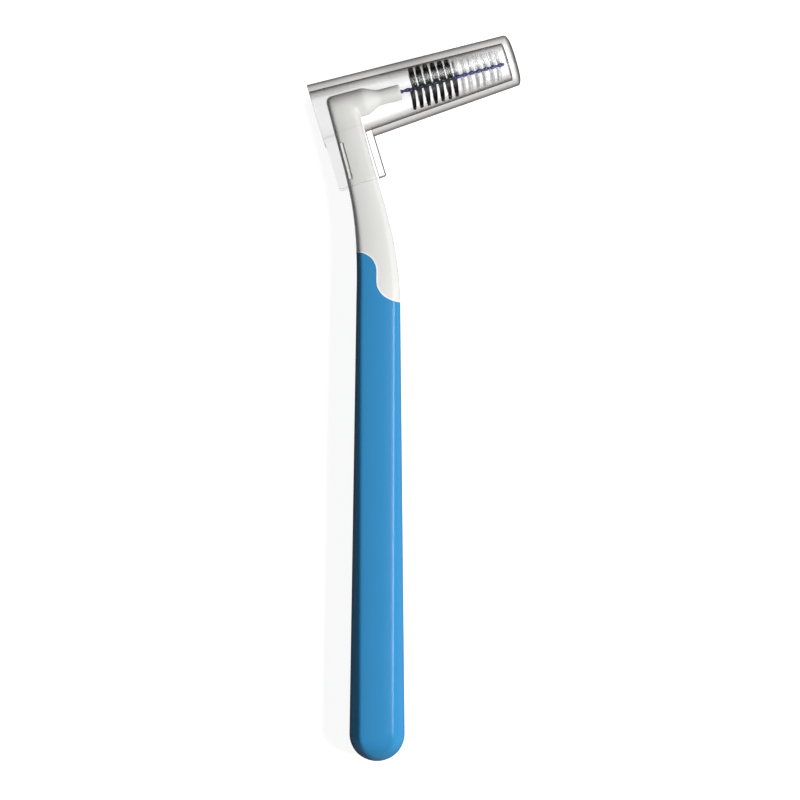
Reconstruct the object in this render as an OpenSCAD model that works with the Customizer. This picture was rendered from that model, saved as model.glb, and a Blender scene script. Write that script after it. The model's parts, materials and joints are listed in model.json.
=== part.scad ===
// Angled interdental brush with its clear travel cap pushed over the head, in millimetres.
// It lies on its side. +Y runs along the grip towards the head, +X is the way the brush
// points, +Z is up, and the surface that it lies on is at zero.

/* [Handle] */
// Height of the head's bend over the round end of the grip
head_h = 130.7; // [118:0.1:155]
// How far the head's bend lies to the left of the grip's axis
head_offset = 6.9; // [5.5:0.1:9]
// Angle of the brush's arm above a square turn from the grip
arm_tilt = 15; // [10:0.5:22]
// Radius of the bend between the grip and the neck
neck_bend_r = 85; // [50:1:100]
// How far the top of the grip leans to the right of its end
grip_lean = 0.27; // [0:0.01:1]
// Length of the grip from its round end to where the neck starts
grip_l = 90; // [75:0.5:105]
// Length of the neck that keeps its own width below the head's bend
neck_straight_l = 10.5; // [6:0.5:14]
// Width of the grip at its round end
grip_end_w = 11.2; // [8:0.1:13]
// Depth of the grip at its round end
grip_end_d = 11; // [8:0.1:13]
// Width of the grip where the neck starts
grip_top_w = 8.85; // [7:0.05:10]
// Depth of the grip where the neck starts
grip_top_d = 8.4; // [6.5:0.1:10]
// Width of the neck
neck_w = 5.8; // [4.5:0.1:6.5]
// Depth of the neck
neck_d = 5.8; // [4.5:0.1:6.5]
// Width of the slanting faces at the grip's round end, seen from the front
end_slant_w = 2.6; // [1.8:0.05:3.2]
// Width of the slanting faces where the neck starts
top_slant_w = 1.45; // [1:0.05:2]
// Width of the slanting faces on the neck
neck_slant_w = 0.95; // [0.6:0.05:1.3]
// Radius of the rounding between one face of the handle and the next
face_round_r = 1.2; // [0.6:0.1:1.8]
// Half of the angle through which the front and side faces bulge
face_bulge = 7; // [4:0.5:10]
// Half of the angle through which the slanting faces bulge
slant_bulge = 4; // [2:0.5:8]

/* [Soft grip] */
// Thickness of the blue skin over the white core
skin_t = 1.4; // [0.8:0.1:2]
// Height of the skin's edge on the right over the top of the grip
edge_low_rise = 1.6; // [0.5:0.1:4]
// How much higher the skin's edge is on the left
edge_step = 10; // [8.5:0.1:14]
// How far the steep stretch of the edge lies to the left of the grip's axis
edge_left = 0.1; // [0:0.1:1]
// Radius of the edge's upper curve
edge_high_r = 3.7; // [3:0.1:4]
// Width of the edge's lower curve, a quarter of an oval
edge_low_w = 5.6; // [4:0.1:7]
// Height of the edge's lower curve
edge_low_h = 4.1; // [3:0.1:4.5]
// Gap of the joint line between the skin and the core
joint_gap = 0.05; // [0.02:0.01:0.1]

/* [Head] */
// Length of the arm from the head's bend to its tip
arm_l = 12.05; // [10.5:0.05:16]
// Radius of the arm at the bend
arm_root_r = 2.8; // [2.3:0.05:3.2]
// Radius of the arm at its tip
arm_tip_r = 1.6; // [1.2:0.05:2]
// Length of the thick part of the arm
arm_root_l = 4.2; // [3.3:0.1:5]
// Length over which the arm narrows
arm_narrow_l = 3.7; // [2.5:0.1:5]
// Radius of the head's upper left corner, seen from the front
head_round_r = 1.2; // [0.6:0.1:1.6]
// Width of the grooves in the neck's faces
groove_w = 0.7; // [0.4:0.05:1]
// Length of those grooves
groove_l = 7.4; // [5:0.1:9]
// Depth of those grooves
groove_d = 0.25; // [0.15:0.05:0.4]
// Distance from the bend down to those grooves
groove_drop = 7; // [5:0.1:9]
// Distance from the neck's left edge to those grooves
groove_inset = 0.55; // [0.4:0.05:1]

/* [Brush] */
// Diameter of the wire before it is folded and twisted
wire_d = 0.4; // [0.3:0.02:0.46]
// Play between the two legs of the twisted wire
leg_gap = 0.04; // [0.02:0.01:0.08]
// Length of one full twist of the wire
wire_pitch = 2.96; // [2.2:0.02:4]
// Bare wire past the last filaments
wire_tip_l = 0.55; // [0.4:0.05:1.5]
// Length of wire held inside the arm
wire_hold_l = 6; // [4:0.1:9]
// Clearance of the wire in its hole
wire_clear = 0.03; // [0.01:0.01:0.06]
// Bare wire between the arm's tip and the first filaments
bare_l = 2.05; // [1:0.05:3]
// Length of the black stretch of filaments
black_l = 9.6; // [7:0.1:12]
// Length of the clear stretch of filaments
clear_l = 9.3; // [7:0.1:12]
// Diameter of the brush beside the arm
brush_base_d = 8.3; // [7:0.1:8.6]
// Diameter of the brush at its tip
brush_tip_d = 6; // [4.5:0.1:7]
// Power of the brush's taper, where 1 is a straight cone and more is a barrel
taper_power = 1.8; // [1:0.1:2.5]
// Distance between one row of filaments and the next
row_pitch = 1.48; // [1.3:0.02:1.8]
// Turn of the first filament from straight up
row_start = 131; // [0:1:359]
// Filaments in each turn of the row
turn_filaments = 28; // [24:1:30]
// How far the tips of the filaments are swept back towards the arm
sweep = 0.3; // [0:0.05:0.4]
// How far the tips of the filaments stray to either side
stray = 0.22; // [0:0.02:0.3]
// Width of the band that joins the filaments at the wire
band_w = 0.12; // [0.09:0.01:0.14]
// Thickness of that band
band_t = 0.11; // [0.08:0.01:0.14]
// Clearance of the band round the wire
band_clear = 0.03; // [0.02:0.01:0.06]
// Width of a filament's tip as a share of its root
filament_tip_share = 0.75; // [0.5:0.05:1]

/* [Cap] */
// Thickness of the cap's wall above and below the brush
cap_wall = 1.4; // [1.1:0.02:1.6]
// Thickness of the cap's wall in front of and behind the brush
cap_side_wall = 1; // [0.8:0.05:1.2]
// Room over the brush inside the cap
bore_room = 0.64; // [0.35:0.01:0.9]
// Room in front of and behind the brush inside the cap
bore_side_room = 0.25; // [0.2:0.01:0.6]
// Slope of the cap's top and bottom to its axis
cap_taper = 2.65; // [1.5:0.05:3]
// Slope of the cap's sides to its axis
cap_side_taper = 0.5; // [0.3:0.05:1]
// Angle of the cap's axis to the arm
cap_tilt = 1.8; // [0.5:0.1:2.5]
// Distance of the cap's axis below the head's bend
cap_drop = 0.75; // [0.3:0.05:1]
// Length of the cap beyond the neck's left edge
cap_overhang = 2.65; // [1.5:0.05:4]
// Room between the wire's tip and the cap's closed end
end_room = 0.8; // [0.4:0.05:2]
// Thickness of the cap's closed end at its rim
end_wall = 0.6; // [0.45:0.05:1.2]
// Height of the dome on the closed end
dome_h = 1; // [0.5:0.05:1.5]
// Clearance between the cap's skirt and the neck
skirt_clear = 0.2; // [0.15:0.01:0.3]
// Thickness of the two plates of the skirt
skirt_t = 0.95; // [0.8:0.05:1.1]
// Depth of the skirt below the cap's axis
skirt_drop = 15; // [11:0.1:18]
// Distance of the skirt's open edge from the cap's mouth
skirt_inset = 0.25; // [0.1:0.05:0.6]
// Radius of the skirt's corners
skirt_corner_r = 0.5; // [0.3:0.05:0.8]

/* [Hidden] */
$fn = 64;
// Overrun of every cut past the face that it opens
over = 0.5 * skin_t;

// Steps of each of the five arcs in a quarter of the handle's section
section_steps = 2;
// Greatest radius between two faces as a share of the slanting face's width
round_share = 0.8;
// How much of the faces is left at the tip of the round end, where the rest is an oval
tip_faces_share = 0.15;
// Points round a section of the cap
cap_points = 60;
// Sides of the wire and rings in one of its twists
wire_sides = 8;
wire_rings = 10;
// Steps of the arcs in a flat outline
arc_steps = 10;
// Angles of the rings on the grip's round end, round the head and on the cap's dome
end_angles = [6, 16, 28, 42, 58, 74, 90];
head_angles = [0, 15, 30, 45, 58, 70, 80];
dome_angles = [0, 12, 25, 40, 55, 70, 84];
// Places of the rings along the grip's taper, and how many the neck has
taper_shares = [0.25, 0.5, 0.75, 1];
neck_steps = 10;

// Length along the neck's line from the crossing of the two axes to the ends of the bend
bend_leg = neck_bend_r * tan(arm_tilt / 2);
// Length along the handle at which the bend starts
bend_from = head_h - (head_offset + grip_lean) / tan(arm_tilt) - bend_leg;
bend_l = neck_bend_r * arm_tilt * PI / 180;
// Length of the neck from the end of the bend to the head
neck_l = (head_offset + grip_lean) / sin(arm_tilt) - bend_leg;
head_s = bend_from + bend_l + neck_l;
// Length along the handle at which the neck is down to its own width
neck_from = head_s - neck_straight_l;
edge_low = grip_l + edge_low_rise;
edge_high = edge_low + edge_step;

// Brush stretches, measured along the arm from the head's bend
black_from = arm_l + bare_l;
clear_from = black_from + black_l;
brush_to = clear_from + clear_l;
wire_to = brush_to + wire_tip_l;
leg_r = (wire_d + leg_gap) / 2;
wire_outer_r = leg_r + wire_d / 2;
hole_r = wire_outer_r + wire_clear;
band_in_r = wire_outer_r + band_clear;
band_out_r = band_in_r + band_t;
row_step = row_pitch / turn_filaments;

// Cap stations, measured along its axis from beside the head's bend
cap_mouth = -(neck_w / 2 + cap_overhang);
bore_end = wire_to + end_room;
cap_rim = bore_end + end_wall;
slot_half = neck_d / 2 + skirt_clear;
skirt_half = slot_half + skirt_t;
slot_to = neck_w / 2 + skirt_clear;
skirt_from = cap_mouth + skirt_inset;
skirt_to = slot_to + cap_wall;

// Half of the bore's height and depth at a place along the cap
function bore_half(a) = brush_base_d / 2 + bore_room - (a - black_from) * tan(cap_taper);
function side_half(a) = brush_base_d / 2 + bore_side_room - (a - black_from) * tan(cap_side_taper);

// Height of the symmetry plane over the surface
rest_h = max(grip_end_d / 2, side_half(cap_mouth) + cap_side_wall);

// Place and slope of the handle's middle line at a length along it: x, y and angle
function spine(s) =
    s < bend_from ? [grip_lean * s / bend_from, s, 0]
    : s < bend_from + bend_l
    ? let (t = (s - bend_from) / neck_bend_r * 180 / PI)
        [grip_lean - neck_bend_r * (1 - cos(t)), bend_from + neck_bend_r * sin(t), t]
    : let (d = head_s - s)
        [-head_offset + d * sin(arm_tilt), head_h - d * cos(arm_tilt), arm_tilt];

function ease(t) = t * t * (3 - 2 * t);

// A size along the handle that runs from its value at the end, past the grip's top, to the neck
function along(s, at_end, at_top, at_neck) =
    s < grip_l ? at_end + (at_top - at_end) * s / grip_l
    : at_top + (at_neck - at_top) * ease(min(1, (s - grip_l) / (neck_from - grip_l)));

// Arcs of a quarter of a section, from the middle of its side to the middle of its front:
// the radius of each, and the angles between which it runs
function section_arcs(half_w, half_d, slant_share) =
    let (
        front = half_w * (1 - slant_share),
        lean = tan(face_bulge / 2),
        side = front + (half_d - half_w) / (1 - lean),
        r = min(face_round_r, round_share * half_w * slant_share),
        slant_chord = sqrt(2) * sin(slant_bulge),
        round_w = r * (cos(face_bulge) - sin(face_bulge) - slant_chord),
        slant = half_w - front - round_w - side * lean
    )
    [
        [side / sin(face_bulge), 0, face_bulge],
        [r, face_bulge, 45 - slant_bulge],
        [slant / slant_chord, 45 - slant_bulge, 45 + slant_bulge],
        [r, 45 + slant_bulge, 90 - face_bulge],
        [front / sin(face_bulge), 90 - face_bulge, 90]
    ];

// The way from an arc's start to the point a share of its angle further on
function arc_run(arc, share) =
    let (t = arc[1] + (arc[2] - arc[1]) * share)
    arc[0] * [cos(t) - cos(arc[1]), sin(t) - sin(arc[1])];

// A section of the handle as a closed row of points, x and z, with faces that blend into an oval
function section(half_w, half_d, slant_share, faces_share) =
    let (
        arcs = section_arcs(half_w, half_d, slant_share),
        n = len(arcs) * section_steps,
        quarter = [for (k = [0 : n])
            let (
                i = min(floor(k / section_steps), len(arcs) - 1),
                share = k / section_steps - i,
                t = arcs[i][1] + (arcs[i][2] - arcs[i][1]) * share,
                faced = [half_w, 0] + sum([for (j = [0 : i]) arc_run(arcs[j], j < i ? 1 : share)]),
                oval = [pow(half_w, 2) * cos(t), pow(half_d, 2) * sin(t)]
                    / norm([half_w * cos(t), half_d * sin(t)])
            )
            faces_share * faced + (1 - faces_share) * oval]
    )
    concat(
        [for (k = [0 : n - 1]) quarter[k]],
        [for (k = [n : -1 : 1]) [-quarter[k][0], quarter[k][1]]],
        [for (k = [0 : n - 1]) -quarter[k]],
        [for (k = [n : -1 : 1]) [quarter[k][0], -quarter[k][1]]]
    );

// One section across the handle as a closed ring of points, drawn in by an inset and then
// narrowed and flattened to shares of its width and depth
function handle_ring(s, inset, shares = [1, 1], faces_share = 1) =
    let (
        c = spine(s),
        half_w = along(s, grip_end_w, grip_top_w, neck_w) / 2,
        half_d = along(s, grip_end_d, grip_top_d, neck_d) / 2,
        slant_share = along(s, end_slant_w, top_slant_w, neck_slant_w) / half_w
    )
    [for (p = section(half_w - inset, half_d - inset, slant_share, faces_share))
        let (across = shares[0] * p[0])
        [c[0] + across * cos(c[2]), c[1] + across * sin(c[2]), shares[1] * p[1]]];

// Shares of a ring's width and depth on the head, which is round about the arm's axis and has
// a rounded corner at its upper left
function head_shares(t) =
    let (turned = max(0, 1 - (1 - sin(t)) * arm_root_r / head_round_r))
    [1 - (1 - sqrt(1 - turned * turned)) * head_round_r / (neck_w / 2), cos(t)];

// Rings of the whole handle, drawn in from its surface by an inset
function handle_rings(inset) =
    let (end_r = grip_end_w / 2 - inset)
    [
        for (t = end_angles)
            handle_ring(
                inset + end_r * (1 - cos(t)), inset, [sin(t), sin(t)],
                tip_faces_share + (1 - tip_faces_share) * ease(max(0, 2 * sin(t) - 1))
            ),
        for (share = taper_shares) handle_ring(end_r + inset + (grip_l - end_r - inset) * share, inset),
        for (k = [1 : neck_steps]) handle_ring(grip_l + (neck_from - grip_l) * k / neck_steps, inset),
        for (t = head_angles)
            handle_ring(head_s + (arm_root_r - inset) * sin(t), inset, head_shares(t))
    ];

// One section across the cap, in its own frame
function cap_ring(a, half_h, half_d) =
    [for (j = [0 : cap_points - 1])
        let (angle = 360 * (j + 0.5) / cap_points)
        [a, -half_h * cos(angle), half_d * sin(angle)]];

function ring_middle(ring) = sum(ring) / len(ring);
function sum(list, i = 0) = i == len(list) - 1 ? list[i] : list[i] + sum(list, i + 1);

// Solid skin over a row of rings with the same number of points, closed flat at both ends
module loft(rings) {
    n = len(rings[0]);
    last = len(rings) - 1;
    points = concat([for (ring = rings) each ring], [ring_middle(rings[0]), ring_middle(rings[last])]);
    start = n * (last + 1);
    faces = [
        for (j = [0 : n - 1]) [start, (j + 1) % n, j],
        for (i = [0 : last - 1], j = [0 : n - 1])
            let (a = i * n + j, b = i * n + (j + 1) % n)
            each [[a, b, b + n], [a, b + n, a + n]],
        for (j = [0 : n - 1]) [start + 1, last * n + j, last * n + (j + 1) % n]
    ];
    polyhedron(points = points, faces = faces, convexity = 6);
}

module handle_body(inset) loft(handle_rings(inset));

// Points of an arc, which is a stretch of an oval where its height is given too
function arc(centre, r, from, to, high = 0) =
    let (rise = high > 0 ? high : r)
    [for (k = [0 : arc_steps])
        let (t = from + (to - from) * k / arc_steps)
        [centre[0] + r * cos(t), centre[1] + rise * sin(t)]];

// Everything below the S-shaped edge of the skin, seen from the front
module below_edge() {
    far_x = head_offset + grip_end_w;
    flank_x = -edge_left;
    linear_extrude(height = 2 * grip_end_d, center = true)
        polygon(concat(
            [[-far_x, -grip_end_w], [-far_x, edge_high]],
            arc([flank_x - edge_high_r, edge_high - edge_high_r], edge_high_r, 90, 0),
            arc([flank_x + edge_low_w, edge_low + edge_low_h], edge_low_w, 180, 270, edge_low_h),
            [[far_x, edge_low], [far_x, -grip_end_w]]
        ));
}

// Places its children in the row's frame from the handle's own frame
module placed() {
    translate([-middle[0], -middle[1], rest_h]) children();
}

// Places its children along the arm, with +X out along the brush and +Y away from the grip
module arm_frame() {
    placed() translate([-head_offset, head_h, 0]) rotate([0, 0, arm_tilt]) children();
}

module cap_frame() {
    arm_frame() translate([0, -cap_drop, 0]) rotate([0, 0, cap_tilt]) children();
}

// The cap's outline in the handle's frame, for the middle of the whole brush
function cap_corner(a, b) =
    let (
        u = a * cos(cap_tilt) - b * sin(cap_tilt),
        v = a * sin(cap_tilt) + b * cos(cap_tilt) - cap_drop
    )
    [
        -head_offset + u * cos(arm_tilt) - v * sin(arm_tilt),
        head_h + u * sin(arm_tilt) + v * cos(arm_tilt)
    ];
cap_outline = concat(
    [cap_corner(cap_mouth, bore_half(cap_mouth) + cap_wall)],
    [for (t = dome_angles, side = [-1, 1])
        cap_corner(cap_rim + dome_h * sin(t), side * cos(t) * (bore_half(cap_rim) + cap_wall))]
);
handle_end = min([for (p = handle_rings(0)[0]) p[1]]);
middle = [
    (min([for (p = cap_outline) p[0]]) + max([for (p = cap_outline) p[0]])) / 2,
    (handle_end + max([for (p = cap_outline) p[1]])) / 2
];

// White moulding: the core inside the grip, the neck and the arm that holds the wire
module handle_core() {
    color("whitesmoke")
    difference() {
        union() {
            placed() difference() {
                handle_body(0);
                difference() {
                    below_edge();
                    handle_body(skin_t);
                }
            }
            arm_frame() rotate([0, 90, 0]) rotate_extrude() arm_outline();
        }
        arm_frame() translate([arm_l - wire_hold_l - wire_d, 0, 0]) rotate([0, 90, 0])
            cylinder(r = hole_r, h = wire_hold_l + wire_d + over);
        for (side = [-1, 1]) arm_frame() neck_groove(side);
    }
}

// Half outline of the arm, turned about its axis
module arm_outline() {
    steps = 10;
    mid_r = (arm_root_r + arm_tip_r) / 2;
    polygon(concat(
        [[0, 0], [arm_root_r, 0]],
        [for (k = [0 : steps])
            [
                arm_root_r + (arm_tip_r - arm_root_r) * ease(k / steps),
                arm_root_l + arm_narrow_l * k / steps
            ]],
        [[arm_tip_r, arm_l - wire_d / 2], [arm_tip_r - wire_d / 2, arm_l], [0, arm_l]]
    ));
}

// Narrow groove in one face of the neck
module neck_groove(side) {
    x = -neck_w / 2 + groove_inset;
    face = neck_d / 2 - (neck_w / 2 - neck_slant_w) * tan(face_bulge / 2);
    translate([x, -groove_drop - groove_l, side > 0 ? face - groove_d : -face + groove_d - neck_d])
        cube([groove_w, groove_l, neck_d]);
}

// Blue overmoulded skin
module soft_grip() {
    color("steelblue")
    placed() difference() {
        intersection() {
            handle_body(0);
            translate([0, -joint_gap, 0]) below_edge();
        }
        handle_body(skin_t - joint_gap);
    }
}

// Path of the folded wire: out along one leg, round the fold at the tip and back
wire_from = arm_l - wire_hold_l;
leg_steps = ceil((wire_to - leg_r - wire_from) / wire_pitch * wire_rings);
function leg_angle(u) = 360 * (u - wire_from) / wire_pitch;
// Each entry holds a point, the outward direction there and the direction of travel
function leg_point(u, turn, way) =
    let (
        t = leg_angle(u) + turn,
        climb = 2 * PI * leg_r / wire_pitch,
        out = [0, cos(t), sin(t)],
        run = [1, -climb * sin(t), climb * cos(t)] / norm([1, climb])
    )
    [[u, leg_r * cos(t), leg_r * sin(t)], out, way * run];
function fold_point(t) =
    let (
        end = leg_angle(wire_to - leg_r),
        side = [0, cos(end), sin(end)],
        out = side * cos(t) + [sin(t), 0, 0]
    )
    [[wire_to - leg_r - wire_d / 2, 0, 0] + leg_r * out, out, [cos(t), 0, 0] - side * sin(t)];
leg_run = wire_to - leg_r - wire_d / 2 - wire_from;
wire_path = concat(
    [for (k = [0 : leg_steps]) leg_point(wire_from + leg_run * k / leg_steps, 0, 1)],
    [for (t = [30 : 30 : 150]) fold_point(t)],
    [for (k = [leg_steps : -1 : 0]) leg_point(wire_from + leg_run * k / leg_steps, 180, -1)]
);

function wire_ring(p) =
    let (side = cross(p[2], p[1]))
    [for (j = [0 : wire_sides - 1])
        let (angle = 360 * j / wire_sides)
        p[0] + wire_d / 2 * (p[1] * cos(angle) + side * sin(angle))];

// Coated wire, folded in half and twisted
module twisted_wire() {
    color("mediumblue")
    arm_frame() loft([for (p = wire_path) wire_ring(p)]);
}

// Radius of the brush at a place along the arm
function brush_r(u) =
    let (t = max(0, min(1, (u - black_from) / (brush_to - black_from))))
    brush_base_d / 2 - (brush_base_d - brush_tip_d) / 2 * pow(t, taper_power);

// One spiral row of filaments, each rising from a face of the thin band that joins them
module filament_row(from, length) {
    n = floor(length / row_step);
    function at(i, along_axis, r) =
        let (u = from + i * row_step, t = row_start + 360 * (u - black_from) / row_pitch)
        [u + along_axis, r * cos(t), r * sin(t)];
    left = [for (i = [0 : n]) at(i, -band_w / 2, band_out_r)];
    right = [for (i = [0 : n]) at(i, band_w / 2, band_out_r)];
    foot = [for (i = [0 : n]) at(i, 0, band_in_r)];
    // The three corners of each filament's root, in order
    roots = [for (i = [0 : n - 1]) [left[i], right[i + 1], right[i]]];
    tips = [for (i = [0 : n - 1])
        let (
            root = roots[i],
            mid = (root[0] + root[1] + root[2]) / 3,
            side = [0, mid[1], mid[2]] / norm([mid[1], mid[2]]),
            reach = brush_r(mid[0]) - band_out_r,
            shift = [stray * sin(137.5 * i) - sweep, 0, 0]
        )
        each [for (p = root) mid + (p - mid) * filament_tip_share + side * reach + shift]];
    m = n + 1;
    faces = concat(
        [[0, 2 * m, m]],
        [for (i = [0 : n - 1])
            let (a = i, b = m + i, c = 2 * m + i, q = 3 * m + 3 * i)
            each [
                [a, b + 1, a + 1],
                [c, a + 1, c + 1], [c, a, a + 1],
                [c, b + 1, b], [c, c + 1, b + 1],
                [a, q + 1, b + 1], [a, q, q + 1],
                [b + 1, q + 2, b], [b + 1, q + 1, q + 2],
                [b, q, a], [b, q + 2, q],
                [q, q + 2, q + 1]
            ]],
        [[n, m + n, 2 * m + n]]
    );
    polyhedron(points = concat(left, right, foot, tips), faces = faces, convexity = 20);
}

module black_filaments() {
    color("black") arm_frame() filament_row(black_from, black_l);
}

module clear_filaments() {
    color("gainsboro")
    arm_frame() filament_row(clear_from + 2 * row_step, clear_l - 2 * row_step);
}

// Flat outline of the skirt, seen from the front
module skirt_outline() {
    r = skirt_corner_r;
    polygon(concat(
        [[skirt_to, 0], [skirt_from, 0]],
        arc([skirt_from + r, r - skirt_drop], r, 180, 270),
        arc([skirt_to - r, r - skirt_drop], r, 270, 360)
    ));
}

// Clear moulding: a tapered tube with a domed end, and a skirt that straddles the neck
module travel_cap() {
    color("lightcyan", 0.4)
    cap_frame() difference() {
        union() {
            loft(concat(
                [cap_ring(
                    cap_mouth,
                    bore_half(cap_mouth) + cap_wall,
                    side_half(cap_mouth) + cap_side_wall
                )],
                [for (t = dome_angles)
                    cap_ring(
                        cap_rim + dome_h * sin(t),
                        cos(t) * (bore_half(cap_rim) + cap_wall),
                        cos(t) * (side_half(cap_rim) + cap_side_wall)
                    )]
            ));
            linear_extrude(height = 2 * skirt_half, center = true) skirt_outline();
        }
        loft([
            cap_ring(cap_mouth - over, bore_half(cap_mouth - over), side_half(cap_mouth - over)),
            cap_ring(bore_end, bore_half(bore_end), side_half(bore_end))
        ]);
        translate([cap_mouth - over, -skirt_drop - over, -slot_half])
            cube([slot_to - cap_mouth + over, skirt_drop + over, 2 * slot_half]);
    }
}

handle_core();
soft_grip();
twisted_wire();
black_filaments();
clear_filaments();
travel_cap();
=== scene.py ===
# Looks of an angled interdental brush with a clear travel cap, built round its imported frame.
# Sizes are in metres in the frame's own axes: +Y runs along the grip towards the head, +X is
# roughly the way the brush points and +Z is up from the surface that it lies on.

import json
import math

import bmesh
import bpy
import numpy as np
from bpy.props import FloatProperty, FloatVectorProperty, IntProperty, PointerProperty
from mathutils import Matrix, Vector


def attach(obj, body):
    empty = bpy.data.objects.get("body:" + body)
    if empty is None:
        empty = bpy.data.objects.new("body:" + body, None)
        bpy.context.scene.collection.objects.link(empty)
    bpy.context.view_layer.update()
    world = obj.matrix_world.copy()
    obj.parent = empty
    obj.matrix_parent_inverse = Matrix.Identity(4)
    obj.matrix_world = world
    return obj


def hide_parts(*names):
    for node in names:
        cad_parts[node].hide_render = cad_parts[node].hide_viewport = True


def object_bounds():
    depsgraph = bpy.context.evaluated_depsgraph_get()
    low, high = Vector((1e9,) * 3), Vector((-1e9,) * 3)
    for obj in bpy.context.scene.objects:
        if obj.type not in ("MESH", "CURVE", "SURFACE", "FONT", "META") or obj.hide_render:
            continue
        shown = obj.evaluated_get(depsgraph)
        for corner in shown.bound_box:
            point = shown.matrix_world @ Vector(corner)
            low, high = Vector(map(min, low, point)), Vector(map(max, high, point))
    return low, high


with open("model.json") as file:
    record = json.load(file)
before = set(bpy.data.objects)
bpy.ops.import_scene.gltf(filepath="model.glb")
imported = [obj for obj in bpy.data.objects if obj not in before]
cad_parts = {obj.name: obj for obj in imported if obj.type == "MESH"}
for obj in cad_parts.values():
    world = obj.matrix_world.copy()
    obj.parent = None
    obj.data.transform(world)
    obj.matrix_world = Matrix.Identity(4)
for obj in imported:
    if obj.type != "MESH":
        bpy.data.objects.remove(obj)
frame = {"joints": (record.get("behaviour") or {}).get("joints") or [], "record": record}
cad_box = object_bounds()

bl_info = {
    "name": "Interdental Brush",
    "version": (1, 0, 0),
    "blender": (4, 5, 0),
    "location": "View3D > Sidebar > Brush",
    "description": "Builds an angled interdental brush with its clear travel cap",
    "category": "Add Mesh",
}

MM = 0.001


def mount_at(name):
    """Place of one of the record's mounts."""
    return Vector(next(m["pos_m"] for m in frame["record"]["mounts"] if m["name"] == name))


ARM_WAY = Vector(frame["joints"][0]["axis"]).normalized()
BRUSH_MIDDLE = mount_at("brush_way")


def linear(code):
    """Linear colour of an sRGB hex value."""
    parts = [int(code[i:i + 2], 16) / 255 for i in (1, 3, 5)]
    return tuple(p / 12.92 if p <= 0.04045 else ((p + 0.055) / 1.055) ** 2.4 for p in parts)


def length(name, description, default):
    """A property that holds a length in metres."""
    return FloatProperty(name=name, description=description, default=default, min=0, precision=5,
                         unit="LENGTH")


def turn(name, description, degrees):
    """A property that holds an angle."""
    return FloatProperty(name=name, description=description, default=math.radians(degrees),
                         subtype="ANGLE")


def number(name, description, default):
    """A property that holds a count."""
    return IntProperty(name=name, description=description, default=default, min=20, max=300)


def colour(name, description, code):
    """A property that holds a colour, given as sRGB hex."""
    return FloatVectorProperty(name=name, description=description, default=linear(code),
                               subtype="COLOR", size=3, min=0, max=1)


class HandleSizes(bpy.types.PropertyGroup):
    """Sizes of the handle, its soft grip and its head."""

    head_h: length("Head height", "Height of the head's bend over the grip's round end", 0.1307)
    head_offset: length("Head offset", "How far the bend lies left of the grip's axis", 0.0069)
    arm_tilt: turn("Arm tilt", "Angle of the arm above a square turn from the grip", 15)
    bend_r: length("Neck bend", "Radius of the bend between the grip and the neck", 0.085)
    grip_lean: length("Grip lean", "How far the grip's top leans to the right", 0.00027)
    grip_l: length("Grip length", "Length of the grip's straight taper", 0.09)
    end_w: length("End width", "Width of the grip at its round end", 0.0112)
    end_d: length("End depth", "Depth of the grip at its round end", 0.011)
    top_w: length("Top width", "Width of the grip where the neck starts", 0.00885)
    top_d: length("Top depth", "Depth of the grip where the neck starts", 0.0084)
    neck_w: length("Neck width", "Width of the neck", 0.0058)
    neck_d: length("Neck depth", "Depth of the neck", 0.0058)
    neck_straight_l: length("Straight neck", "Length of the neck at its own width", 0.0105)
    end_slant_w: length("End slant", "Width of the slanting faces at the round end", 0.0026)
    top_slant_w: length("Top slant", "Width of the slanting faces where the neck starts", 0.00145)
    neck_slant_w: length("Neck slant", "Width of the slanting faces on the neck", 0.00095)
    face_round_r: length("Edges", "Radius between one face of the handle and the next", 0.0012)
    face_bulge: turn("Face bulge", "Half angle of the bulge of the front and side faces", 7)
    slant_bulge: turn("Slant bulge", "Half angle of the bulge of the slanting faces", 4)
    skin_t: length("Skin", "Thickness of the soft grip over the core", 0.0014)
    edge_low_rise: length("Low edge", "Height of the skin's right edge over the taper", 0.0016)
    edge_step: length("Edge step", "How much higher the skin's edge is on the left", 0.01)
    edge_left: length("Edge flank", "How far the edge's flank lies left of the axis", 0.0001)
    edge_high_r: length("Upper curve", "Radius of the edge's upper curve", 0.0037)
    edge_low_w: length("Lower curve width", "Width of the edge's lower curve", 0.0056)
    edge_low_h: length("Lower curve height", "Height of the edge's lower curve", 0.0041)
    arm_l: length("Arm length", "Length of the arm from the bend to its tip", 0.01205)
    arm_root_r: length("Arm root", "Radius of the arm at the bend", 0.0028)
    arm_tip_r: length("Arm tip", "Radius of the arm at its tip", 0.0016)
    arm_root_l: length("Thick arm", "Length of the arm's thick part", 0.0042)
    arm_narrow_l: length("Arm taper", "Length over which the arm narrows", 0.0037)
    head_round_r: length("Head corner", "Radius of the head's upper left corner", 0.0012)
    groove_l: length("Groove length", "Length of the grooves in the neck", 0.0074)
    groove_w: length("Groove width", "Width of the grooves in the neck", 0.0007)
    groove_d: length("Groove depth", "Depth of the grooves in the neck", 0.00025)
    groove_drop: length("Groove drop", "Distance from the bend down to the grooves", 0.007)
    groove_inset: length("Groove inset", "Distance from the neck's left edge", 0.00055)


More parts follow.
